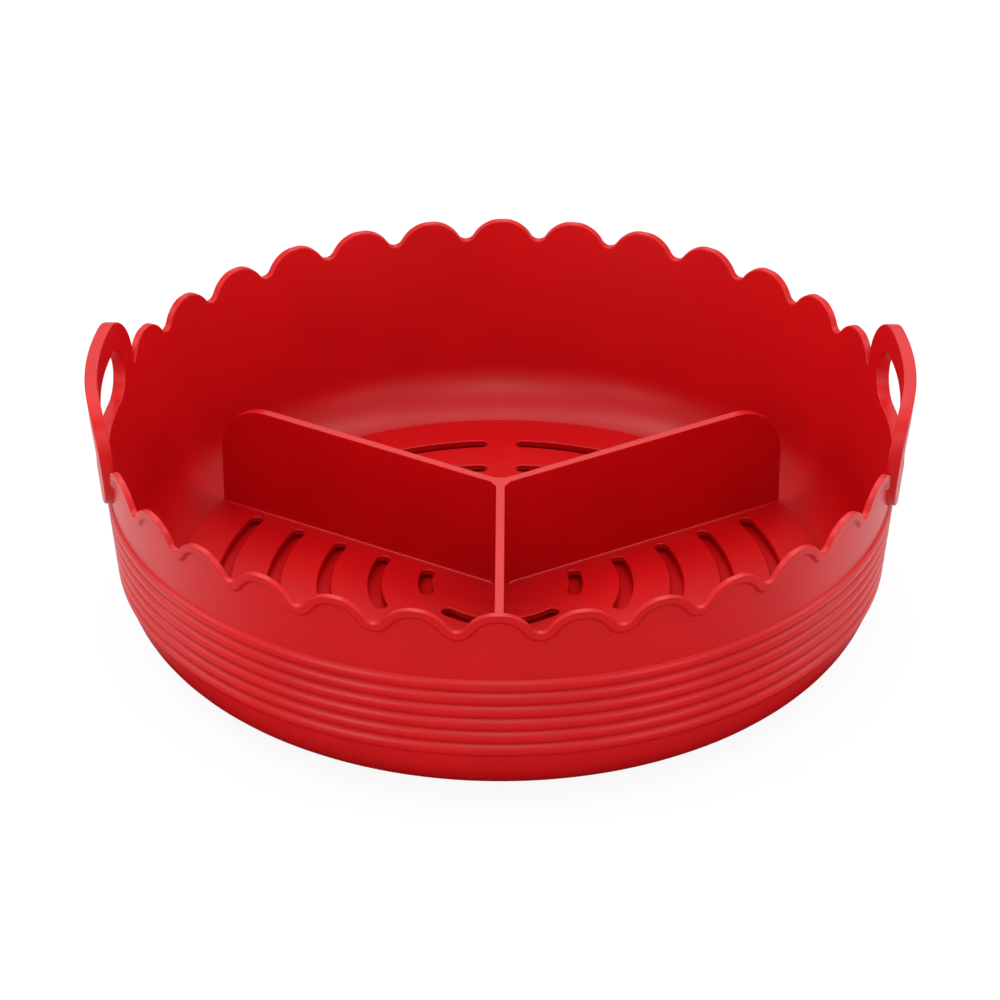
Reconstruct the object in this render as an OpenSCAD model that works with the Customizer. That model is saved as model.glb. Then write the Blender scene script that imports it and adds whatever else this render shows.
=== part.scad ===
// Round liner for an air fryer basket, in two loose pieces of moulded silicone.
// liner_bowl has a ribbed wall, a scalloped rim with a bead along it, and two loop handles.
// divider_tray lies in it: a slotted disc with three upright fins that part the food.
// The origin is the middle of the bowl's underside. The handles point along X.

/* [Bowl] */
// Outer diameter over the bead at the top of the lobes
rim_d = 200; // [150:1:260]
// Height of the lobes' tops above the underside
rim_h = 56.6; // [48:0.1:90]
// Lean of the wall from upright, in degrees
wall_lean = 5.2; // [2:0.1:12]
// Thickness of the wall
wall_t = 1; // [0.8:0.1:2.5]
// Thickness of the floor
floor_t = 1; // [0.8:0.1:3]
// Outer radius of the corner between floor and wall
corner_r = 17; // [10:0.5:22]

/* [Scalloped rim] */
// Number of lobes around the rim, the handles' places included
lobe_count = 32; // [24:4:40]
// Depth of the valleys between the lobes
lobe_depth = 5.5; // [3:0.1:7]
// Radius in the bottom of each valley
valley_r = 2.3; // [0.8:0.1:2.8]
// Width of the flat land on top of each lobe
lobe_land = 3; // [0.6:0.1:4]
// Height of the bead that follows the rim's edge
bead_h = 1.8; // [1:0.1:3]
// How far the bead stands out from the wall
bead_out = 0.7; // [0.3:0.1:1.2]

/* [Ribs] */
// Number of ribs around the wall
rib_count = 6; // [2:1:7]
// Height of each rib
rib_pitch = 3.8; // [3:0.1:4.4]
// How far each rib stands out from the wall
rib_out = 1; // [0.3:0.1:1.2]
// How far the lowest rib reaches down into the corner
rib_drop = 0.6; // [0:0.1:2]

/* [Handles] */
// Width of each handle along the rim
handle_w = 58; // [44:1:80]
// Height of each handle above the lobes' tops
handle_rise = 11.2; // [9:0.2:20]
// Depth of each handle below the lobes' tops
handle_drop = 17.4; // [16:0.2:19]
// How far each handle stands out from the wall
handle_out = 2.1; // [0.7:0.1:3]
// Radius of each handle's upper corners
handle_top_r = 12; // [6:0.5:16]
// Radius of each handle's lower corners
handle_foot_r = 11; // [4:0.5:12]
// Width of the legs beside the finger opening
leg_w = 6.2; // [4:0.1:9]
// Height of the bar above the finger opening
bar_h = 6.8; // [4:0.1:9]
// Height of the sill below the finger opening
sill_h = 7.7; // [5:0.1:10]
// Radius of the finger opening's corners
grip_r = 7; // [2:0.5:9]

/* [Divider tray] */
// Thickness of the slotted disc
tray_t = 1.5; // [1.2:0.1:3]
// Height of the feet under the disc: a ring near its edge and a round one in the middle
foot_h = 1.2; // [0.5:0.1:1.5]
// Width of the foot ring, and of the bare band around the middle foot
foot_w = 4; // [2:0.5:6]
// Gap between the disc's upper edge and the bowl
tray_gap = 3.7; // [1:0.1:6]
// Clearance under the disc's rim, where the bowl's corner rises
seat_gap = 0.3; // [0.2:0.1:0.8]
// Height of the fins above the disc
fin_h = 29.7; // [18:0.1:40]
// Thickness of the fins
fin_t = 2.3; // [1.5:0.1:4]
// Radius of each fin's outer upper corner
fin_corner_r = 14; // [4:0.5:16]
// Distance of each fin's end from the disc's edge
fin_inset = 0.2; // [0.1:0.1:4]
// Length of the bevels where the fins meet
hub_bevel = 1.65; // [0.5:0.05:5]

/* [Slots] */
// Width of the slots
slot_w = 3.4; // [2:0.1:5]
// Radius of the innermost row of slots
row_first_r = 19.2; // [16:0.1:26]
// Spacing of the rows of slots
row_pitch = 12.9; // [9:0.1:18]
// Plain band left between the last row and the disc's edge
row_margin = 8; // [4:0.5:14]
// Distance from the middle of each spoke to the slots' tips
spoke_half = 3.9; // [2.5:0.1:7]

/* [Hidden] */
$fn = 128;
bowl_red = [0.78, 0.08, 0.09];
tray_red = [0.74, 0.06, 0.08];
fin_count = 3;
first_fin_angle = 30;
spoke_count = 2 * fin_count;
handle_angles = [0, 180];
fillet_share = 0.48;
overrun = 1;
overlap = 0.3;
tip_swell = 0.02;
crease_out = 0.03;

slope = tan(wall_lean);
stretch = 1 / cos(wall_lean);
wall_top_r = rim_d / 2 - bead_out * stretch;
inner_corner_r = corner_r - wall_t;
inner_corner_mid = corner_mid(floor_t, inner_corner_r, wall_t);
corner_top = corner_r * (1 - sin(wall_lean));

lobe_pitch = 360 / lobe_count;
half_pitch = rim_d / 2 * sin(lobe_pitch / 2);
radii_sum = (half_pitch ^ 2 + lobe_depth ^ 2) / (2 * lobe_depth);
lobe_r = radii_sum - valley_r;
land_drop = lobe_r - sqrt(lobe_r ^ 2 - (lobe_land / 2) ^ 2);
lobe_mid_z = rim_h + land_drop - lobe_r;
valley_mid_z = lobe_mid_z + sqrt(radii_sum ^ 2 - half_pitch ^ 2);
lobe_foot_z = lobe_mid_z - lobe_r;

rib_rise = rib_out - crease_out;
rib_r = ((rib_pitch / 2) ^ 2 + rib_rise ^ 2) / (2 * rib_rise);
rib_inset = rib_r - rib_out;

handle_top = rim_h + handle_rise;
handle_foot = rim_h - handle_drop;
handle_from = rim_d / 4;
handle_to = rim_d / 2 + handle_from;

foot_top = floor_t + foot_h;
tray_top = foot_top + tray_t;
tray_r = inner_corner_mid.x + sqrt(inner_corner_r ^ 2 - (inner_corner_mid.y - tray_top) ^ 2) - tray_gap;
ring_r = inner_corner_mid.x - overrun;
middle_foot_r = row_first_r - slot_w / 2 - foot_w;
fin_foot = tray_top - tray_t / 2;
fin_top = tray_top + fin_h;

// Radius of the wall's surface at a height, at a depth below the outer skin
function wall_r(z, depth = 0) = wall_top_r + (z - rim_h) * slope - depth * stretch;

// Middle of the corner circle that touches a floor at z and the wall at a depth
function corner_mid(z, r, depth) = [wall_r(z + r, depth) - r * stretch, z + r];

// Height of the bowl's inner corner at a radius beyond the flat of the floor
function corner_floor(r) = inner_corner_mid.y - sqrt(inner_corner_r ^ 2 - (r - inner_corner_mid.x) ^ 2);

// Half section of a cup whose wall lies at a depth below the outer skin
module cup_section(floor_z, r, depth, top) {
    mid = corner_mid(floor_z, r, depth);
    touch = mid + r * [cos(wall_lean), -sin(wall_lean)];
    polygon([[0, floor_z], [mid.x, floor_z], touch, [wall_r(top, depth), top], [0, top]]);
    translate(mid) circle(r);
}

// Half section of the wall between two depths and two heights
module wall_band(outer_depth, inner_depth, low, high) {
    polygon([
        [wall_r(low, inner_depth), low],
        [wall_r(low, outer_depth), low],
        [wall_r(high, outer_depth), high],
        [wall_r(high, inner_depth), high]
    ]);
}

// One circle for each rib, which stands out of the wall by rib_out. Neighbours cross a hair
// outside the wall, so that the wall doesn't pass through their crossing.
module rib_circles() {
    for (i = [0 : rib_count - 1]) {
        z = corner_top - rib_drop + (i + 0.5) * rib_pitch * cos(wall_lean);
        translate([wall_r(z) - rib_inset * cos(wall_lean), z + rib_inset * sin(wall_lean)]) circle(rib_r);
    }
}

module bowl_outside() {
    rotate_extrude() {
        cup_section(0, corner_r, 0, rim_h);
        rib_circles();
    }
}

module bowl_hollow() {
    rotate_extrude() cup_section(floor_t, inner_corner_r, wall_t, handle_top + overrun);
}

// Turns a shape drawn as [along the rim, height] into a bar that points outwards
module outward(angle, from, to) {
    rotate([0, 0, angle]) translate([from, 0, 0]) rotate([90, 0, 90]) linear_extrude(to - from) children();
}

// Copies a shape through the wall once for each lobe
module around_rim(first_angle) {
    for (i = [0 : lobe_count - 1]) {
        outward(first_angle + i * lobe_pitch, wall_r(0, wall_t) - overrun, rim_d / 2 + overrun) children();
    }
}

// The space above one valley, up to the middles of the lobes beside it
module valley_shape() {
    difference() {
        polygon([
            [-half_pitch, rim_h + overrun],
            [-half_pitch, lobe_mid_z],
            [0, valley_mid_z],
            [half_pitch, lobe_mid_z],
            [half_pitch, rim_h + overrun]
        ]);
        for (side = [-1, 1]) translate([side * half_pitch, lobe_mid_z]) circle(lobe_r);
    }
    translate([0, valley_mid_z]) circle(valley_r);
}

// The wall below the bead in one valley, a little past the middles of the lobes beside it
module below_valley_shape() {
    side = half_pitch + overrun;
    difference() {
        polygon([
            [-side, lobe_foot_z],
            [side, lobe_foot_z],
            [side, lobe_mid_z],
            [half_pitch, lobe_mid_z],
            [0, valley_mid_z],
            [-half_pitch, lobe_mid_z],
            [-side, lobe_mid_z]
        ]);
        translate([0, valley_mid_z]) circle(valley_r + bead_h);
    }
}

module rim_bead() {
    difference() {
        rotate_extrude() wall_band(-bead_out, overlap, lobe_foot_z + overrun, rim_h);
        around_rim(0) translate([0, lobe_mid_z]) circle(lobe_r - bead_h);
        around_rim(lobe_pitch / 2) below_valley_shape();
    }
}

// A rectangle with one radius at its lower corners and another at its upper ones
module soft_rectangle(w, low, high, low_r, high_r) {
    limit = fillet_share * min(w, high - low);
    foot = min(low_r, limit);
    head = min(high_r, limit);
    for (side = [-1, 1]) {
        translate([side * (w / 2 - foot), low + foot]) circle(foot);
        translate([side * (w / 2 - head), high - head]) circle(head);
    }
    polygon([
        [-w / 2 + foot, low],
        [w / 2 - foot, low],
        [w / 2, low + foot],
        [w / 2, high - head],
        [w / 2 - head, high],
        [-w / 2 + head, high],
        [-w / 2, high - head],
        [-w / 2, low + foot]
    ]);
}

// One handle, which reaches a little into the hollow
module handle_plate(angle) {
    intersection() {
        rotate_extrude() wall_band(-handle_out, wall_t + overrun, handle_foot - overrun, handle_top + overrun);
        outward(angle, handle_from, handle_to) {
            soft_rectangle(handle_w, handle_foot, handle_top, handle_foot_r, handle_top_r);
        }
    }
}

module grip_opening(angle) {
    outward(angle, handle_from, handle_to) {
        soft_rectangle(handle_w - 2 * leg_w, handle_foot + sill_h, handle_top - bar_h, grip_r, grip_r);
    }
}

module liner_bowl() {
    color(bowl_red) difference() {
        union() {
            difference() {
                union() {
                    bowl_outside();
                    rim_bead();
                }
                around_rim(lobe_pitch / 2) valley_shape();
            }
            for (angle = handle_angles) handle_plate(angle);
        }
        bowl_hollow();
        for (angle = handle_angles) grip_opening(angle);
    }
}

module disc() {
    rotate_extrude() polygon([
        [0, floor_t],
        [middle_foot_r, floor_t],
        [middle_foot_r, foot_top],
        [ring_r - foot_w, foot_top],
        [ring_r - foot_w, floor_t],
        [ring_r, floor_t],
        [tray_r, corner_floor(tray_r) + seat_gap],
        [tray_r, tray_top],
        [0, tray_top]
    ]);
}

// One slot: an arc of the row with round ends, clear of the spokes on both sides. The ends
// swell a hair past the sides, so that they cross them instead of only touching.
module slot_shape(row_r) {
    reach = 180 / spoke_count - asin((spoke_half + slot_w / 2) / row_r);
    far = 2 * row_r;
    intersection() {
        difference() {
            circle(row_r + slot_w / 2);
            circle(row_r - slot_w / 2);
        }
        polygon([[0, 0], far * [cos(reach), -sin(reach)], far * [cos(reach), sin(reach)]]);
    }
    for (side = [-1, 1]) rotate(side * reach) translate([row_r, 0]) circle(slot_w / 2 + tip_swell);
}

module slots() {
    for (row_r = [row_first_r : row_pitch : tray_r - row_margin - slot_w / 2]) {
        for (i = [0 : spoke_count - 1]) {
            rotate(first_fin_angle + (i + 0.5) * 360 / spoke_count) translate([0, 0, floor_t - overrun]) {
                linear_extrude(tray_top - floor_t + 2 * overrun) slot_shape(row_r);
            }
        }
    }
}

module fin(angle) {
    length = tray_r - fin_inset;
    rotate([0, 0, angle]) translate([0, fin_t / 2, 0]) rotate([90, 0, 0]) linear_extrude(fin_t) {
        polygon([
            [0, fin_foot],
            [length, fin_foot],
            [length, fin_top - fin_corner_r],
            [length - fin_corner_r, fin_top],
            [0, fin_top]
        ]);
        translate([length - fin_corner_r, fin_top - fin_corner_r]) circle(fin_corner_r);
    }
}

// The middle where the fins meet: its corners end inside them, and its sides bevel the inner corners
module hub() {
    half_turn = 180 / fin_count;
    side_r = fin_t / 2 / sin(half_turn) + hub_bevel * cos(half_turn);
    corner = side_r / cos(half_turn);
    translate([0, 0, fin_foot]) linear_extrude(fin_top - fin_foot) polygon([
        for (i = [0 : fin_count - 1])
            let (a = first_fin_angle + i * 2 * half_turn)
                corner * [cos(a), sin(a)]
    ]);
}

module divider_tray() {
    color(tray_red) {
        difference() {
            disc();
            slots();
        }
        for (i = [0 : fin_count - 1]) fin(first_fin_angle + i * 360 / fin_count);
        hub();
    }
}

liner_bowl();
divider_tray();
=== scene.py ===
"""Looks of the air fryer liner: a red silicone bowl with a scalloped rim and a loose divider tray.

The shape functions work in millimetres, with the same sizes as the solid model. Everything that
goes into Blender is in metres.
"""
import math

import bmesh
import bpy
from mathutils import Matrix, Vector
from mathutils.geometry import tessellate_polygon


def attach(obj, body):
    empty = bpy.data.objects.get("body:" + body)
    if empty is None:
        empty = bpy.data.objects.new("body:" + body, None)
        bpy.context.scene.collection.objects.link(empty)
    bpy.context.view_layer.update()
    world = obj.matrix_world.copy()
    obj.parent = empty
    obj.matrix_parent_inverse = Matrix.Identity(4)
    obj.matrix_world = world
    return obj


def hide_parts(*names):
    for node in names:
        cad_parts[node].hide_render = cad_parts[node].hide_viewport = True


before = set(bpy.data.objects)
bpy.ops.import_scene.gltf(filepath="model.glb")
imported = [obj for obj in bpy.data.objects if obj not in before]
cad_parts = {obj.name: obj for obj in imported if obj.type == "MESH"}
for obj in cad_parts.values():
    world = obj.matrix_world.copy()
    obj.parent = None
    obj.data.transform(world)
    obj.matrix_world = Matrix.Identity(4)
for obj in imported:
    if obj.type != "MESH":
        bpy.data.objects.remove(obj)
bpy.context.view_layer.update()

MM = 0.001

# Bowl
RIM_R = 100.0  # over the bead, at the tops of the lobes
RIM_H = 56.6
LEAN = math.radians(5.2)
WALL_T = 1.0
FLOOR_T = 1.0
CORNER_R = 17.0
PLAIN_TOP = 42.0  # below this the bowl's wall is the same all around
FLAT_SHARES = (0.25, 0.5, 0.75, 0.9)  # rings on the flat underside and floor, as shares of it
WALL_STEPS = 7
OUTER_CORNER_STEPS = 14
INNER_CORNER_STEPS = 16
BLEND_STEPS = 5  # rings between the plain wall and the rim's own section

# Scalloped rim
LOBES = 32
LOBE_DEPTH = 5.5
VALLEY_R = 2.3
LOBE_LAND = 3.0
VALLEY_STEPS = 4
LOBE_STEPS = 8
BEAD_H = 1.8
BEAD_OUT = 0.7
BEAD_SLOPE = 0.9  # height of the slope under the bead
RIM_OUTER_EDGE = 0.10
RIM_INNER_EDGE = 0.35
LOW_UNDER_HANDLE = 43.0  # the bowl's edge, hidden in the handle below the finger opening
HANDLE_TUCK = (23.5, 28.0)  # over this stretch of each leg the edge falls to that height
TUCK_REACH = 0.9  # how far past the leg the falling edge may still be under the rim's own

# Ribs
RIBS = 6
RIB_PITCH = 3.8
RIB_OUT = 1.0
RIB_DROP = 0.6
RIB_STEPS = 10
ABOVE_RIBS = (2, 4)  # rings on the wall, so far above the last rib

# Handles
HANDLE_W = 58.0
HANDLE_RISE = 11.2
HANDLE_DROP = 17.4
HANDLE_OUT = 2.1
HANDLE_TOP_R = 12.0
HANDLE_FOOT_R = 11.0
LEG_W = 6.2
BAR_H = 6.8
SILL_H = 7.7
GRIP_R = 7.0
HANDLE_EDGE = 0.3
FLUSH = 0.03  # how far the handle stands proud inside, so that its face hides the wall's

# Divider tray
TRAY_T = 1.5
FOOT_H = 1.2
FOOT_W = 4.0
TRAY_GAP = 3.7
SEAT_GAP = 0.3
FIN_H = 29.7
FIN_T = 2.3
FIN_CORNER_R = 14.0
FIN_INSET = 0.2
HUB_BEVEL = 1.65
FIN_EDGE = 0.2
FOOT_FILLET = 0.55
FILLET_INSET = 0.05  # the fillet ends this far inside the disc's edge
SINK = 0.3  # how far the fillet reaches into the disc and the fins
TRAY_EDGE = 0.4
SLOT_EDGE = 0.3
FINS = 3
FIRST_FIN = math.radians(30)
SPOKES = 6

# Slots
SLOT_W = 3.4
ROW_FIRST_R = 19.2
ROW_PITCH = 12.9
ROW_MARGIN = 8.0
SPOKE_HALF = 3.9
SLOT_STEP = 1.6  # length of one straight piece of a slot's sides

SHARP_DEGREES = 35  # edges above this angle stay sharp

# Values worked out from the sizes above
SLOPE = math.tan(LEAN)
STRETCH = 1 / math.cos(LEAN)
WALL_TOP_R = RIM_R - BEAD_OUT * STRETCH
LOBE_PITCH = 2 * math.pi / LOBES
HALF_PITCH = RIM_R * math.sin(LOBE_PITCH / 2)
RADII_SUM = (HALF_PITCH ** 2 + LOBE_DEPTH ** 2) / (2 * LOBE_DEPTH)
LOBE_R = RADII_SUM - VALLEY_R
LOBE_MID_Z = RIM_H + LOBE_R - math.sqrt(LOBE_R ** 2 - (LOBE_LAND / 2) ** 2) - LOBE_R
VALLEY_MID_Z = LOBE_MID_Z + math.sqrt(RADII_SUM ** 2 - HALF_PITCH ** 2)
HANDLE_TOP = RIM_H + HANDLE_RISE
HANDLE_FOOT = RIM_H - HANDLE_DROP
FOOT_TOP = FLOOR_T + FOOT_H
TRAY_TOP = FOOT_TOP + TRAY_T
FIN_TOP = TRAY_TOP + FIN_H


# ---- Shapes, in millimetres


def wall_r(z, depth=0.0):
    """Radius of the wall's surface at a height, at a depth below the outer skin."""
    return WALL_TOP_R + (z - RIM_H) * SLOPE - depth * STRETCH


def corner_mid(z, r, depth):
    """Middle of the corner circle that touches a floor at z and the wall at a depth."""
    return wall_r(z + r, depth) - r * STRETCH, z + r


INNER_CORNER_R = CORNER_R - WALL_T
INNER_MID = corner_mid(FLOOR_T, INNER_CORNER_R, WALL_T)
TRAY_R = INNER_MID[0] + math.sqrt(INNER_CORNER_R ** 2 - (INNER_MID[1] - TRAY_TOP) ** 2) - TRAY_GAP


def corner_floor(r):
    """Height of the bowl's inner corner at a radius."""
    reach = max(r - INNER_MID[0], 0.0)
    return INNER_MID[1] - math.sqrt(INNER_CORNER_R ** 2 - reach ** 2)


def arc(mid, r, start, end, steps):
    """Points on a circle, both ends included, with the angles in radians."""
    angles = [start + (end - start) * i / steps for i in range(steps + 1)]
    return [(mid[0] + r * math.cos(a), mid[1] + r * math.sin(a)) for a in angles]


def rim_z(y, drop):
    """Height of the rim's edge at a distance from a valley, for the edge moved in by drop."""
    small = VALLEY_R + drop
    if y < small * HALF_PITCH / RADII_SUM:
        return VALLEY_MID_Z - math.sqrt(small ** 2 - y ** 2)
    beside = min(HALF_PITCH - y, LOBE_R - drop)
    return min(LOBE_MID_Z + math.sqrt((LOBE_R - drop) ** 2 - beside ** 2), RIM_H - drop)


def rim_places():
    """Places around the rim with a column of points, as (angle, distance from the next valley)."""
    steep = math.asin(HALF_PITCH / RADII_SUM)
    down = [steep * i / VALLEY_STEPS for i in range(VALLEY_STEPS)]
    over = [steep * (1 - i / LOBE_STEPS) for i in range(LOBE_STEPS)]
    valley = [VALLEY_R * math.sin(a) for a in down]
    lobe = [HALF_PITCH - LOBE_R * math.sin(a) for a in over]
    half = valley + lobe + [HALF_PITCH]
    across = [(-1, y) for y in reversed(half[1:])] + [(1, y) for y in half[:-1]]
    places = []
    for i in range(LOBES):
        valley_angle = (i + 0.5) * LOBE_PITCH
        places += [(valley_angle + side * math.asin(y / RIM_R), y) for side, y in across]
    return places


def tucked(angle, z):
    """The rim's height, lowered where a handle covers it."""
    s = abs(RIM_R * math.sin(angle))
    start, end = HANDLE_TUCK
    if s > end + TUCK_REACH:
        return z
    rise = (s - start) / (end - start)
    low = LOW_UNDER_HANDLE + max(rise, 0.0) * (RIM_H - LOBE_DEPTH - LOW_UNDER_HANDLE)
    return min(z, low)


def outer_profile():
    """The bowl's outside, from the underside to the wall above the ribs, as (radius, height)."""
    mid = corner_mid(0.0, CORNER_R, 0.0)
    rib_r = ((RIB_PITCH / 2) ** 2 + RIB_OUT ** 2) / (2 * RIB_OUT)
    half_angle = math.asin(RIB_PITCH / 2 / rib_r)
    first_z = CORNER_R * (1 - math.sin(LEAN)) - RIB_DROP
    points = [(mid[0] * share, 0.0) for share in FLAT_SHARES]
    corner_end = -math.asin((mid[1] - first_z) / CORNER_R)
    points += arc(mid, CORNER_R, -math.pi / 2, corner_end, OUTER_CORNER_STEPS)
    for i in range(RIBS):
        z = first_z + (i + 0.5) * RIB_PITCH * math.cos(LEAN)
        inset = rib_r - RIB_OUT
        centre = (wall_r(z) - inset * math.cos(LEAN), z + inset * math.sin(LEAN))
        points += arc(centre, rib_r, -LEAN - half_angle, -LEAN + half_angle, RIB_STEPS)[1:]
    last = points[-1][1]
    rings = [last + up for up in ABOVE_RIBS] + [PLAIN_TOP]
    return points + [(wall_r(z), z) for z in rings]


def inner_profile():
    """The bowl's inside from the wall down to the middle of the floor, as (radius, height)."""
    top = INNER_MID[1] - INNER_CORNER_R * math.sin(LEAN)
    wall = [PLAIN_TOP + (top - PLAIN_TOP) * i / WALL_STEPS for i in range(WALL_STEPS)]
    points = [(wall_r(z, WALL_T), z) for z in wall]
    points += arc(INNER_MID, INNER_CORNER_R, -LEAN, -math.pi / 2, INNER_CORNER_STEPS)
    return points + [(INNER_MID[0] * share, FLOOR_T) for share in reversed(FLAT_SHARES)]


def quarter_turn(steps):
    """Angles from 0 to a right angle."""
    return [math.pi / 2 * i / steps for i in range(steps + 1)]


def rim_section():
    """The rim across its edge, from the outside in, as (drop below the edge, distance out)."""
    # The small steps here round both ends of the slope under the bead
    under = BEAD_H + BEAD_SLOPE
    points = [(under + 0.5, 0.0), (under, 0.0), (under - 0.2, 0.05)]
    points += [(BEAD_H + 0.15, BEAD_OUT - 0.07), (BEAD_H - 0.1, BEAD_OUT), (BEAD_H / 2, BEAD_OUT)]
    e = RIM_OUTER_EDGE
    points += [(e * (1 - math.sin(t)), BEAD_OUT - e * (1 - math.cos(t))) for t in quarter_turn(3)]
    points += [(0.0, -0.1)]
    e = RIM_INNER_EDGE
    points += [(e * (1 - math.cos(t)), e * (1 - math.sin(t)) - WALL_T) for t in quarter_turn(5)]
    return points + [(e + 0.4, -WALL_T), (BEAD_H, -WALL_T)]


# ---- Meshes


def new_object(name, verts, faces):
    """A mesh object from points in millimetres, in metres and closed up."""
    mesh = bpy.data.meshes.new(name)
    mesh.from_pydata([[c * MM for c in v] for v in verts], [], faces)
    obj = bpy.data.objects.new(name, mesh)
    bpy.context.scene.collection.objects.link(obj)
    bm = bmesh.new()
    bm.from_mesh(mesh)
    bmesh.ops.remove_doubles(bm, verts=bm.verts, dist=1e-6)
    bmesh.ops.recalc_face_normals(bm, faces=bm.faces)
    bm.to_mesh(mesh)
    bm.free()
    return obj


def bowl_shell():
    """The bowl without its handles: one closed skin of rings, finer at the rim than below it."""
    fine = rim_places()
    coarse = fine[::2]
    verts = [(0.0, 0.0, 0.0)]
    faces = []

    def ring(points):
        verts.extend(points)
        return list(range(len(verts) - len(points), len(verts)))

    def plain_ring(r, z, places):
        return ring([(r * math.cos(a), r * math.sin(a), z) for a, _ in places])

    def bridge(low, high):
        n = len(low)
        faces.extend((low[i], low[(i + 1) % n], high[(i + 1) % n], high[i]) for i in range(n))

    def refine(low, high, flip):
        """Joins a coarse ring to a fine one with twice its points."""
        n = len(low)
        for i in range(n):
            a, b = low[i], low[(i + 1) % n]
            f = [high[(2 * i + j) % (2 * n)] for j in range(3)]
            new = [(a, f[1], f[0]), (a, b, f[1]), (b, f[2], f[1])]
            faces.extend(t[::-1] if flip else t for t in new)

    outside = [plain_ring(r, z, coarse) for r, z in outer_profile()]
    n = len(coarse)
    faces.extend((0, outside[0][(i + 1) % n], outside[0][i]) for i in range(n))
    for low, high in zip(outside, outside[1:]):
        bridge(low, high)

    start_z = PLAIN_TOP + 0.8
    previous = plain_ring(wall_r(start_z), start_z, fine)
    refine(outside[-1], previous, False)
    section = rim_section()

    def rim_ring(drop, out, share=1.0):
        points = []
        for a, y in fine:
            z = start_z + share * (tucked(a, rim_z(y, drop)) - start_z)
            r = wall_r(z) + out * STRETCH
            points.append((r * math.cos(a), r * math.sin(a), z))
        return ring(points)

    for i in range(1, BLEND_STEPS):
        current = rim_ring(section[0][0], section[0][1], i / BLEND_STEPS)
        bridge(previous, current)
        previous = current
    for drop, out in section:
        current = rim_ring(drop, out)
        bridge(previous, current)
        previous = current
    for i in range(BLEND_STEPS - 1, -1, -1):
        current = rim_ring(section[-1][0], section[-1][1], i / BLEND_STEPS)
        bridge(previous, current)
        previous = current

    inside = [plain_ring(r, z, coarse) for r, z in inner_profile()]
    refine(inside[0], previous, True)
    for low, high in zip(inside, inside[1:]):
        bridge(low, high)
    verts.append((0.0, 0.0, FLOOR_T))
    last = len(verts) - 1
    faces.extend((last, inside[-1][i], inside[-1][(i + 1) % n]) for i in range(n))
    return new_object("liner_bowl_looks", verts, faces)


def soft_rectangle(w, low, high, low_r, high_r):
    """A rectangle's outline with round corners, as (point, normal), always with as many points."""
    corner_steps, across_steps, up_steps = 14, 20, 4
    half = w / 2
    corners = [
        ((half - low_r, low + low_r), low_r, -90, across_steps),
        ((half - high_r, high - high_r), high_r, 0, up_steps),
        ((high_r - half, high - high_r), high_r, 90, across_steps),
        ((low_r - half, low + low_r), low_r, 180, up_steps),
    ]
    points = []
    for mid, r, start, steps in corners:
        first = arc(mid, r, math.radians(start), math.radians(start + 90), corner_steps)
        normals = [((p[0] - mid[0]) / r, (p[1] - mid[1]) / r) for p in first]
        if points:
            join_last(points, first[0], normals[0], sides)
        points += list(zip(first, normals))
        sides = up_steps if steps == across_steps else across_steps
    join_last(points, points[0][0], points[0][1], sides)
    return points


def join_last(points, end, normal, steps):
    """Adds the points between the outline's last point and the start of its next corner."""
    (x0, y0), _ = points[-1]
    for i in range(1, steps):
        t = i / steps
        points.append(((x0 + (end[0] - x0) * t, y0 + (end[1] - y0) * t), normal))


def loop_faces(n, k):
    """Faces of a closed loop of n closed sections with k points each."""
    faces = []
    for i in range(n):
        for j in range(k):
            i1, j1 = (i + 1) % n, (j + 1) % k
            faces.append((i * k + j, i1 * k + j, i1 * k + j1, i * k + j1))
    return faces


def handle(side):
    """One loop handle: a plate that follows the wall's cone, with a finger opening."""
    outline = soft_rectangle(HANDLE_W, HANDLE_FOOT, HANDLE_TOP, HANDLE_FOOT_R, HANDLE_TOP_R)
    grip_w, grip_foot, grip_top = HANDLE_W - 2 * LEG_W, HANDLE_FOOT + SILL_H, HANDLE_TOP - BAR_H
    opening = soft_rectangle(grip_w, grip_foot, grip_top, GRIP_R, GRIP_R)
    outer, inner, e = HANDLE_OUT, -WALL_T - FLUSH, HANDLE_EDGE
    turns = quarter_turn(4)
    # Each entry: share of the way to the opening, inset from that edge, distance out from the wall
    section = [(0, e * (1 - math.cos(t)), inner + e * (1 - math.sin(t))) for t in reversed(turns)]
    section += [(0, e * (1 - math.cos(t)), outer - e * (1 - math.sin(t))) for t in turns]
    section += [(share, 0, outer) for share in (0.33, 0.67)]
    section += [(1, e * (1 - math.cos(t)), outer - e * (1 - math.sin(t))) for t in reversed(turns)]
    section += [(1, e * (1 - math.cos(t)), inner + e * (1 - math.sin(t))) for t in turns]
    section += [(share, 0, inner) for share in (0.67, 0.33)]
    verts = []
    for (p, n), (q, m) in zip(outline, opening):
        for share, inset, out in section:
            if share == 0:
                s, z = p[0] - n[0] * inset, p[1] - n[1] * inset
            elif share == 1:
                s, z = q[0] + m[0] * inset, q[1] + m[1] * inset
            else:
                s, z = p[0] + (q[0] - p[0]) * share, p[1] + (q[1] - p[1]) * share
            r = wall_r(z) + out * STRETCH
            verts.append((side * math.sqrt(r * r - s * s), side * s, z))
    return new_object("handle_%+d" % side, verts, loop_faces(len(outline), len(section)))


def outward_normals(points):
    """Normals that point to the right of a closed outline's direction of travel."""
    normals = []
    n = len(points)
    for i in range(n):
        (x0, y0), (x1, y1), (x2, y2) = points[i - 1], points[i], points[(i + 1) % n]
        first = Vector((y1 - y0, x0 - x1)).normalized()
        second = Vector((y2 - y1, x1 - x2)).normalized()
        middle = (first + second).normalized()
        normals.append(middle / max(middle.dot(first), 0.3))
    return normals


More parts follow.
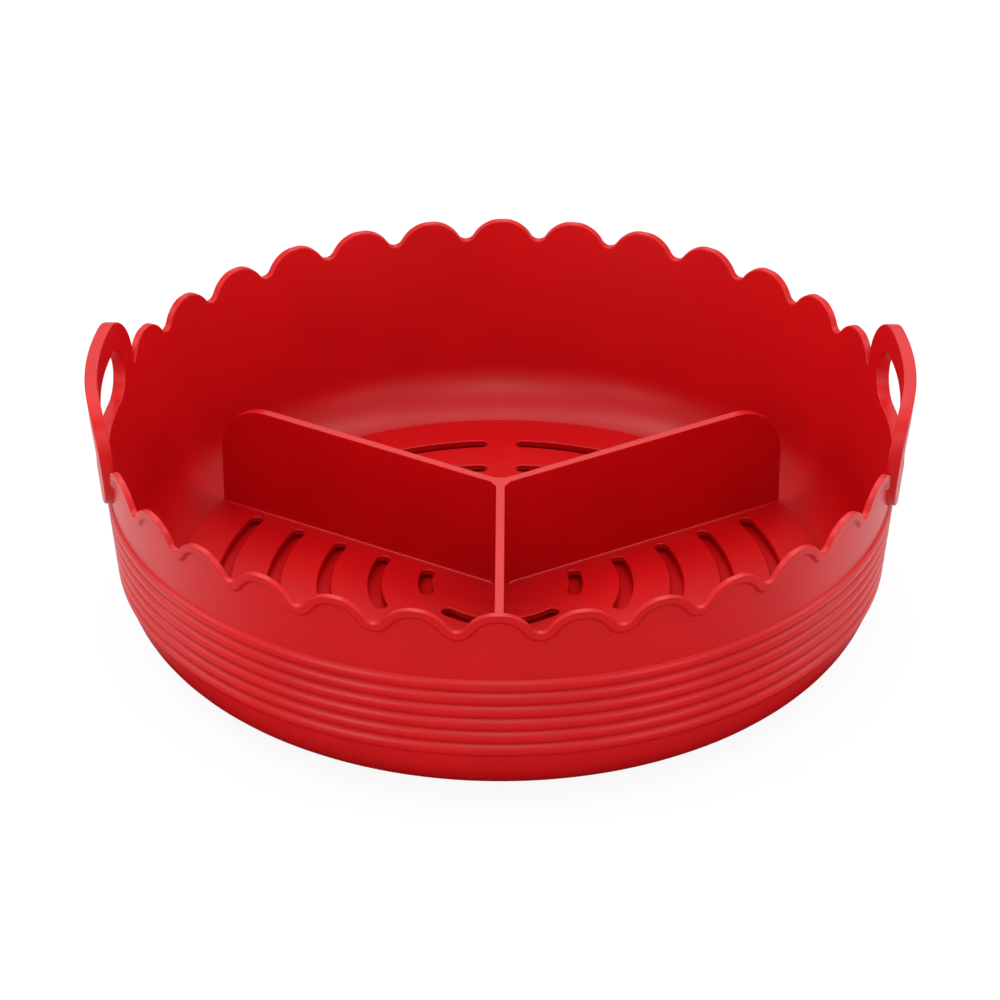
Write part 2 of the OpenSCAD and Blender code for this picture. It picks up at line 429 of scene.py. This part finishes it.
def slab(name, outlines, place=lambda x, y, z: (x, y, z)):
    """A flat plate with holes, from (points, rows) for its outline and then for each hole.

    The outline runs anticlockwise and the holes clockwise. Rows are (inset, height), bottom first.
    """
    verts = []
    faces = []
    caps = ([], [])
    for points, rows in outlines:
        normals = outward_normals(points)
        n = len(points)
        start = len(verts)
        for inset, z in rows:
            for p, m in zip(points, normals):
                verts.append((p[0] - m[0] * inset, p[1] - m[1] * inset, z))
        for j in range(len(rows) - 1):
            for i in range(n):
                a, b = start + j * n + i, start + j * n + (i + 1) % n
                faces.append((a, b, b + n, a + n))
        caps[0].append(list(range(start, start + n)))
        top = start + (len(rows) - 1) * n
        caps[1].append(list(range(top, top + n)))
    for cap in caps:
        flat = [i for loop in cap for i in loop]
        found = tessellate_polygon([[Vector(verts[i]) for i in loop] for loop in cap])
        faces += [tuple(flat[i] for i in t) for t in found]
    return new_object(name, [place(*v) for v in verts], faces)


def round_rows(low, high, low_edge, high_edge, steps=3):
    """Rows for slab with round edges at the bottom and the top."""
    rows = []
    for t in quarter_turn(steps) if low_edge else [math.pi / 2]:
        rows.append((low_edge * (1 - math.sin(t)), low + low_edge * (1 - math.cos(t))))
    for t in quarter_turn(steps):
        rows.append((high_edge * (1 - math.cos(t)), high - high_edge * (1 - math.sin(t))))
    return rows


def slot_outline(row_r, middle):
    """One slot, an arc with round ends, clockwise."""
    reach = math.pi / SPOKES - math.asin((SPOKE_HALF + SLOT_W / 2) / row_r)
    half = SLOT_W / 2
    steps = max(4, round(2 * reach * row_r / SLOT_STEP))
    points = arc((0, 0), row_r - half, middle - reach, middle + reach, steps)[:-1]
    end = middle + reach
    mid = (row_r * math.cos(end), row_r * math.sin(end))
    points += arc(mid, half, end - math.pi, end - 2 * math.pi, 12)[:-1]
    points += arc((0, 0), row_r + half, middle + reach, middle - reach, steps)[:-1]
    end = middle - reach
    mid = (row_r * math.cos(end), row_r * math.sin(end))
    points += arc(mid, half, end, end - math.pi, 12)[:-1]
    return points


def disc():
    """The slotted disc, with its underside raised where the bowl's corner lies under it."""
    ring_inset = TRAY_R - (INNER_MID[0] - 1)
    inner_inset = ring_inset + FOOT_W
    edge_rows = [(inner_inset, FOOT_TOP), (inner_inset, FLOOR_T), (ring_inset, FLOOR_T)]
    edge_rows += round_rows(corner_floor(TRAY_R) + SEAT_GAP, TRAY_TOP, 0, TRAY_EDGE)
    slot_rows = round_rows(FOOT_TOP, TRAY_TOP, 0, SLOT_EDGE)
    outlines = [(arc((0, 0), TRAY_R, 0, 2 * math.pi, 320)[:-1], edge_rows)]
    row_r = ROW_FIRST_R
    while row_r <= TRAY_R - ROW_MARGIN - SLOT_W / 2:
        for i in range(SPOKES):
            middle = FIRST_FIN + (i + 0.5) * 2 * math.pi / SPOKES
            outlines.append((slot_outline(row_r, middle), slot_rows))
        row_r += ROW_PITCH
    return slab("disc", outlines)


def middle_foot():
    """The round foot under the middle of the disc."""
    circle = arc((0, 0), ROW_FIRST_R - SLOT_W / 2 - FOOT_W, 0, 2 * math.pi, 64)[:-1]
    return slab("middle_foot", [(circle, [(0, FLOOR_T), (0, FOOT_TOP + TRAY_T / 3)])])


def fin(angle):
    """One upright fin, from the middle to the disc's edge."""
    length = TRAY_R - FIN_INSET
    foot = TRAY_TOP - TRAY_T / 2
    mid = (length - FIN_CORNER_R, FIN_TOP - FIN_CORNER_R)
    outline = [(0, foot), (length, foot)]
    outline += arc(mid, FIN_CORNER_R, 0, math.pi / 2, 20) + [(0, FIN_TOP)]
    c, s = math.cos(angle), math.sin(angle)

    def place(along, up, across):
        return c * along + s * across, s * along - c * across, up

    rows = round_rows(-FIN_T / 2, FIN_T / 2, FIN_EDGE, FIN_EDGE)
    return slab("fin", [(outline, rows)], place)


def fin_angles():
    """Directions of the fins."""
    return [FIRST_FIN + i * 2 * math.pi / FINS for i in range(FINS)]


def hub():
    """The three bevels where the fins meet."""
    half_turn = math.pi / FINS
    side_r = FIN_T / 2 / math.sin(half_turn) + HUB_BEVEL * math.cos(half_turn)
    corner = side_r / math.cos(half_turn)
    outline = [(corner * math.cos(a), corner * math.sin(a)) for a in fin_angles()]
    return slab("hub", [(outline, round_rows(TRAY_TOP - TRAY_T / 2, FIN_TOP, 0, FIN_EDGE))])


def foot_fillets():
    """The small fillet all around the feet of the fins, as one closed ring on the plan of the Y."""
    length = TRAY_R - FIN_INSET
    half_turn = math.pi / FINS
    side = FIN_T / 2
    bevel_from = side / math.tan(half_turn) + HUB_BEVEL
    outline = []
    for a in fin_angles():
        c, s = math.cos(a), math.sin(a)
        ends = ((bevel_from, -side), (length, -side), (length, side), (bevel_from, side))
        for along, across in ends:
            outline.append((c * along - s * across, s * along + c * across))
    normals = outward_normals(outline)
    f = FOOT_FILLET
    turns = quarter_turn(5)
    section = [(f * (1 - math.cos(t)), TRAY_TOP + f * (1 - math.sin(t))) for t in turns]
    low = TRAY_TOP - SINK
    section += [(f, low), (-SINK, low), (-SINK, TRAY_TOP + f)]
    verts = []
    for p, m in zip(outline, normals):
        for off, z in section:
            x, y = p[0] + m[0] * off, p[1] + m[1] * off
            r = math.hypot(x, y)
            pull = min(1.0, (TRAY_R - FILLET_INSET) / r)
            verts.append((x * pull, y * pull, z))
    return new_object("foot_fillets", verts, loop_faces(len(outline), len(section)))


def unite(base, others):
    """Joins solids into one skin."""
    bpy.context.view_layer.objects.active = base
    for other in others:
        join = base.modifiers.new("join", "BOOLEAN")
        join.operation = "UNION"
        join.solver = "EXACT"
        join.object = other
        bpy.ops.object.modifier_apply(modifier=join.name)
        bpy.data.objects.remove(other)
    return base


def smooth(obj, degrees):
    """Smooth shading that keeps flat faces flat and edges above an angle sharp."""
    for o in bpy.context.selected_objects:
        o.select_set(False)
    bpy.context.view_layer.objects.active = obj
    obj.select_set(True)
    bpy.ops.object.shade_smooth_by_angle(angle=math.radians(degrees))
    weighted = obj.modifiers.new("weighted", "WEIGHTED_NORMAL")
    weighted.keep_sharp = True
    bpy.ops.object.modifier_apply(modifier=weighted.name)
    obj.select_set(False)


# ---- Materials

RED = (0.46, 0.0008, 0.0022)
ROUGHNESS = 0.37
ROUGHNESS_RANGE = 0.05  # either way, from grain to grain
CLOUD_SCALE = 45
CLOUD_RANGE = 0.05  # share of the colour, either way
GRAIN_SCALE = 2600
GRAIN_DEPTH = 0.05  # millimetres
GRAIN_STRENGTH = 0.12
SILICONE_IOR = 1.45
SILICONE_SPECULAR = 0.35

FLOOR_WHITE = 0.9  # share of plain white in what the camera sees of the floor
FLOOR_TONE = 0.9  # the rest of it, which takes the object's shadow
FLOOR_BOUNCE = 0.5  # how much of its light the floor gives back to the object
# In reflections the floor carries a painted shadow around the object, as far as its shadow reaches,
# and a painted shade in front
FLOOR_DARK_AT = (0.0, -30.0, 0.0)
FLOOR_DARK_R = 88.0
FLOOR_LIT_R = 114.0
FLOOR_FRONT = 0.03  # brightness of the floor in front, in reflections: a painted shade
FLOOR_FRONT_Y = -120.0
FLOOR_SIDE_Y = -30.0


def silicone(name):
    """Satin moulded silicone: one red with a faint cloudiness and a very fine mould grain."""
    mat = bpy.data.materials.new(name)
    mat.use_nodes = True
    nodes, links = mat.node_tree.nodes, mat.node_tree.links
    shader = nodes["Principled BSDF"]
    coords = nodes.new("ShaderNodeTexCoord")

    cloud = nodes.new("ShaderNodeTexNoise")
    cloud.inputs["Scale"].default_value = CLOUD_SCALE
    cloud.inputs["Detail"].default_value = 3
    links.new(coords.outputs["Object"], cloud.inputs["Vector"])
    tint = nodes.new("ShaderNodeValToRGB")
    dark, light = tint.color_ramp.elements
    dark.position = 0.3
    light.position = 0.7
    dark.color = [c * (1 - CLOUD_RANGE) for c in RED] + [1]
    light.color = [c * (1 + CLOUD_RANGE) for c in RED] + [1]
    links.new(cloud.outputs["Fac"], tint.inputs["Fac"])
    links.new(tint.outputs["Color"], shader.inputs["Base Color"])

    grain = nodes.new("ShaderNodeTexNoise")
    grain.inputs["Scale"].default_value = GRAIN_SCALE
    grain.inputs["Detail"].default_value = 2
    links.new(coords.outputs["Object"], grain.inputs["Vector"])
    rough = nodes.new("ShaderNodeMapRange")
    rough.inputs["To Min"].default_value = ROUGHNESS - ROUGHNESS_RANGE
    rough.inputs["To Max"].default_value = ROUGHNESS + ROUGHNESS_RANGE
    links.new(grain.outputs["Fac"], rough.inputs["Value"])
    links.new(rough.outputs["Result"], shader.inputs["Roughness"])
    bump = nodes.new("ShaderNodeBump")
    bump.inputs["Strength"].default_value = GRAIN_STRENGTH
    bump.inputs["Distance"].default_value = GRAIN_DEPTH * MM
    links.new(grain.outputs["Fac"], bump.inputs["Height"])
    links.new(bump.outputs["Normal"], shader.inputs["Normal"])

    shader.inputs["IOR"].default_value = SILICONE_IOR
    shader.inputs["Specular IOR Level"].default_value = SILICONE_SPECULAR
    return mat


def ramp(tree, value, start, end, low=0.0, high=1.0):
    """A number that goes from low to high as the value goes from start to end."""
    node = tree.nodes.new("ShaderNodeMapRange")
    for name, number in (("From Min", start), ("From Max", end), ("To Min", low), ("To Max", high)):
        node.inputs[name].default_value = number
    tree.links.new(value, node.inputs["Value"])
    return node.outputs["Result"]


def maths(tree, operation, first, second):
    """The result of a Math node on two values, each a socket or a plain number."""
    node = tree.nodes.new("ShaderNodeMath")
    node.operation = operation
    for socket, value in zip(node.inputs, (first, second)):
        if isinstance(value, bpy.types.NodeSocket):
            tree.links.new(value, socket)
        else:
            socket.default_value = value
    return node.outputs[0]


def floor_material():
    """Floor that the camera sees as near white, with the object's shadow kept."""
    mat = bpy.data.materials.new("studio_floor")
    mat.use_nodes = True
    tree = mat.node_tree
    nodes, links = tree.nodes, tree.links
    nodes.remove(nodes["Principled BSDF"])
    rays = nodes.new("ShaderNodeLightPath").outputs

    plain = nodes.new("ShaderNodeBsdfDiffuse")
    tone = ramp(tree, rays["Is Camera Ray"], 0, 1, FLOOR_BOUNCE, FLOOR_TONE)
    unlit = maths(tree, "SUBTRACT", 1, rays["Is Glossy Ray"])
    links.new(maths(tree, "MULTIPLY", tone, unlit), plain.inputs["Color"])

    # Painted shadow in reflections: by position, the floor goes dark around the object and in front
    coords = nodes.new("ShaderNodeTexCoord")
    reach = nodes.new("ShaderNodeVectorMath")
    reach.operation = "DISTANCE"
    reach.inputs[1].default_value = [c * MM for c in FLOOR_DARK_AT]
    links.new(coords.outputs["Object"], reach.inputs[0])
    around = ramp(tree, reach.outputs["Value"], FLOOR_DARK_R * MM, FLOOR_LIT_R * MM)
    place = nodes.new("ShaderNodeSeparateXYZ")
    links.new(coords.outputs["Object"], place.inputs[0])
    beside = ramp(tree, place.outputs["Y"], FLOOR_FRONT_Y * MM, FLOOR_SIDE_Y * MM, FLOOR_FRONT)
    bright = maths(tree, "MULTIPLY", around, beside)
    reflected = maths(tree, "MULTIPLY", rays["Is Glossy Ray"], bright)
    through = maths(tree, "MAXIMUM", rays["Is Camera Ray"], rays["Is Transmission Ray"])
    seen = maths(tree, "MULTIPLY", through, FLOOR_WHITE)

    white = nodes.new("ShaderNodeEmission")
    mix = nodes.new("ShaderNodeMixShader")
    links.new(maths(tree, "MAXIMUM", reflected, seen), mix.inputs["Fac"])
    links.new(plain.outputs[0], mix.inputs[1])
    links.new(white.outputs[0], mix.inputs[2])
    links.new(mix.outputs[0], nodes["Material Output"].inputs["Surface"])
    return mat


# ---- Studio

IMAGE_W = 1000
CAMERA_TARGET = Vector((-0.12, 0.0, 28.01)) * MM
CAMERA_DISTANCE = 1052.11 * MM
CAMERA_AZIMUTH = math.radians(0.288)
CAMERA_ELEVATION = math.radians(30.716)
FOCAL_PIXELS = 4178.73  # on an image IMAGE_W pixels wide
SENSOR = 36.0

WORLD_LIGHT = 0.92
WORLD_REFLECTION = 0.36
FLOOR_HALF = 4.0  # metres
FLOOR_Z = -0.05  # just below the underside, so that the two faces don't fight

LAMP_DISTANCE = 1.3
LAMP_SIZE = 0.6
LAMP_AIM = (0, 0, 30)
# Each lamp: degrees around from the front, to the right; degrees up; watts
LAMPS = {
    "top": (0, 90, 2.3),
    "front": (0, 35, 2.7),
    "front_left": (-40, 12, 3.8),
    "front_right": (40, 12, 2.4),
    "left_low": (-90, 12, 2.6),
    "right_low": (90, 12, 2.6),
    "left_high": (-90, 60, 4.1),
    "right_high": (90, 60, 3.3),
    "back_high": (180, 60, 2.9),
    "back": (180, 35, 1.3),
}


def make_camera():
    """The photo's camera, fitted to the rim, the base and the fins."""
    a, e = CAMERA_AZIMUTH, CAMERA_ELEVATION
    back = Vector((math.sin(a) * math.cos(e), -math.cos(a) * math.cos(e), math.sin(e)))
    right = Vector((math.cos(a), math.sin(a), 0))
    up = back.cross(right)
    place = CAMERA_TARGET + back * CAMERA_DISTANCE
    data = bpy.data.cameras.new("camera")
    data.sensor_width = SENSOR
    data.lens = FOCAL_PIXELS * SENSOR / IMAGE_W
    data.clip_start = 0.01
    data.clip_end = 20
    camera = bpy.data.objects.new("camera", data)
    turn = Matrix((right, up, back)).transposed().to_4x4()
    camera.matrix_world = Matrix.Translation(place) @ turn
    bpy.context.scene.collection.objects.link(camera)
    bpy.context.scene.camera = camera


def make_world():
    """Even white light, which the camera sees as plain white past the floor's edge."""
    world = bpy.data.worlds.new("studio")
    world.use_nodes = True
    tree = world.node_tree
    shader = tree.nodes["Background"]
    shader.inputs["Color"].default_value = (1, 1, 1, 1)
    rays = tree.nodes.new("ShaderNodeLightPath").outputs
    light = ramp(tree, rays["Is Glossy Ray"], 0, 1, WORLD_LIGHT, WORLD_REFLECTION)
    level = tree.nodes.new("ShaderNodeMapRange")
    level.inputs["To Max"].default_value = 1
    tree.links.new(rays["Is Camera Ray"], level.inputs["Value"])
    tree.links.new(light, level.inputs["To Min"])
    tree.links.new(level.outputs["Result"], shader.inputs["Strength"])
    bpy.context.scene.world = world


def make_lamps():
    """Soft round lamps on a sphere around the object, which light it but aren't seen."""
    aim = Vector(LAMP_AIM) * MM
    for name, (around, up, watts) in LAMPS.items():
        a, e = math.radians(around), math.radians(up)
        data = bpy.data.lights.new(name, "AREA")
        data.shape = "DISK"
        data.size = LAMP_SIZE
        data.energy = watts
        lamp = bpy.data.objects.new(name, data)
        out = Vector((math.sin(a) * math.cos(e), -math.cos(a) * math.cos(e), math.sin(e)))
        lamp.location = out * LAMP_DISTANCE
        lamp.rotation_euler = (aim - lamp.location).to_track_quat("-Z", "Y").to_euler()
        lamp.visible_camera = False
        bpy.context.scene.collection.objects.link(lamp)


def make_floor():
    """A plain floor, which isn't part of the object."""
    mesh = bpy.data.meshes.new("floor")
    half, z = FLOOR_HALF, FLOOR_Z * MM
    corners = [(-half, -half, z), (half, -half, z), (half, half, z), (-half, half, z)]
    mesh.from_pydata(corners, [], [(0, 1, 2, 3)])
    floor = bpy.data.objects.new("floor", mesh)
    bpy.context.scene.collection.objects.link(floor)
    floor.data.materials.append(floor_material())


# ---- Scene

make_camera()
make_world()
make_lamps()
make_floor()

bowl = unite(bowl_shell(), [handle(1), handle(-1)])
smooth(bowl, SHARP_DEGREES)
bowl.data.materials.clear()
bowl.data.materials.append(silicone("bowl_silicone"))
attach(bowl, "root")
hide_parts("liner_bowl")

fins = [fin(a) for a in fin_angles()]
tray = unite(hub(), fins + [foot_fillets(), middle_foot(), disc()])
tray.name = "divider_tray_looks"
smooth(tray, SHARP_DEGREES)
tray.data.materials.clear()
tray.data.materials.append(silicone("tray_silicone"))
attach(tray, "root")
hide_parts("divider_tray")

bpy.context.scene.view_settings.view_transform = "Standard"
